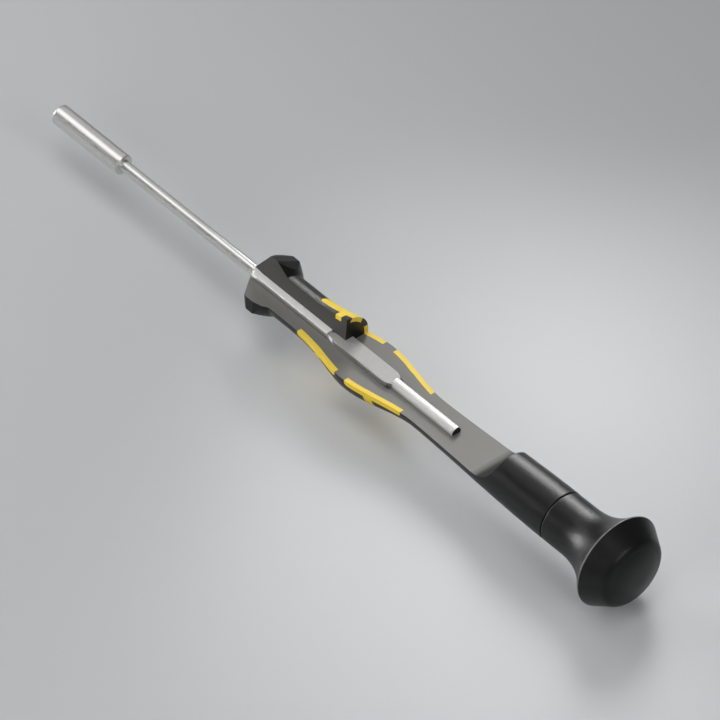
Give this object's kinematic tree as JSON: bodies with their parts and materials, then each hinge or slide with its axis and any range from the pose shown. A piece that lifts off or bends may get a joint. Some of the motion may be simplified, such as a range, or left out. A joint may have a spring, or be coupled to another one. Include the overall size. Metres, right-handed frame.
{
  "type": "nut driver",
  "caption": "Slim precision nut driver: hexagon socket, keyed steel blade, grip with soft inlays cut open to show the blade, and a free-turning cap.",
  "frame": {"origin": "centre of the socket's mouth, on the tool's axis", "axes": "+X along the tool's axis from the socket to the cap, +Z square to the flat cut face, +Y towards the block of the grip that is left standing"},
  "size_m": [0.1471, 0.0178, 0.0178],
  "materials": {
    "socket_steel": "satin chrome plated",
    "blade_steel": "satin chrome plated",
    "grip_black": "fine-grained moulded skin, grey where it is cut",
    "inlay_yellow": "matt moulded elastomer",
    "axle_steel": "ground",
    "bearing_polymer": "turned",
    "cap_black": "satin moulded skin"
  },
  "bodies": {
    "handle": {"socket": "socket_steel", "blade": "blade_steel", "grip_body": "grip_black", "front_inlay": "inlay_yellow", "rear_inlay": "inlay_yellow", "cap_axle": "axle_steel", "front_washer": "bearing_polymer", "head_washer": "bearing_polymer"},
    "cap": {"cap_shell": "cap_black", "cap_bush": "bearing_polymer", "end_disc": "cap_black"}
  },
  "joints": [
    {"name": "cap_spin", "type": "hinge", "parent": "handle", "child": "cap", "pos_m": [0.1355, 0, 0], "axis": [1, 0, 0], "continuous": true}
  ]
}
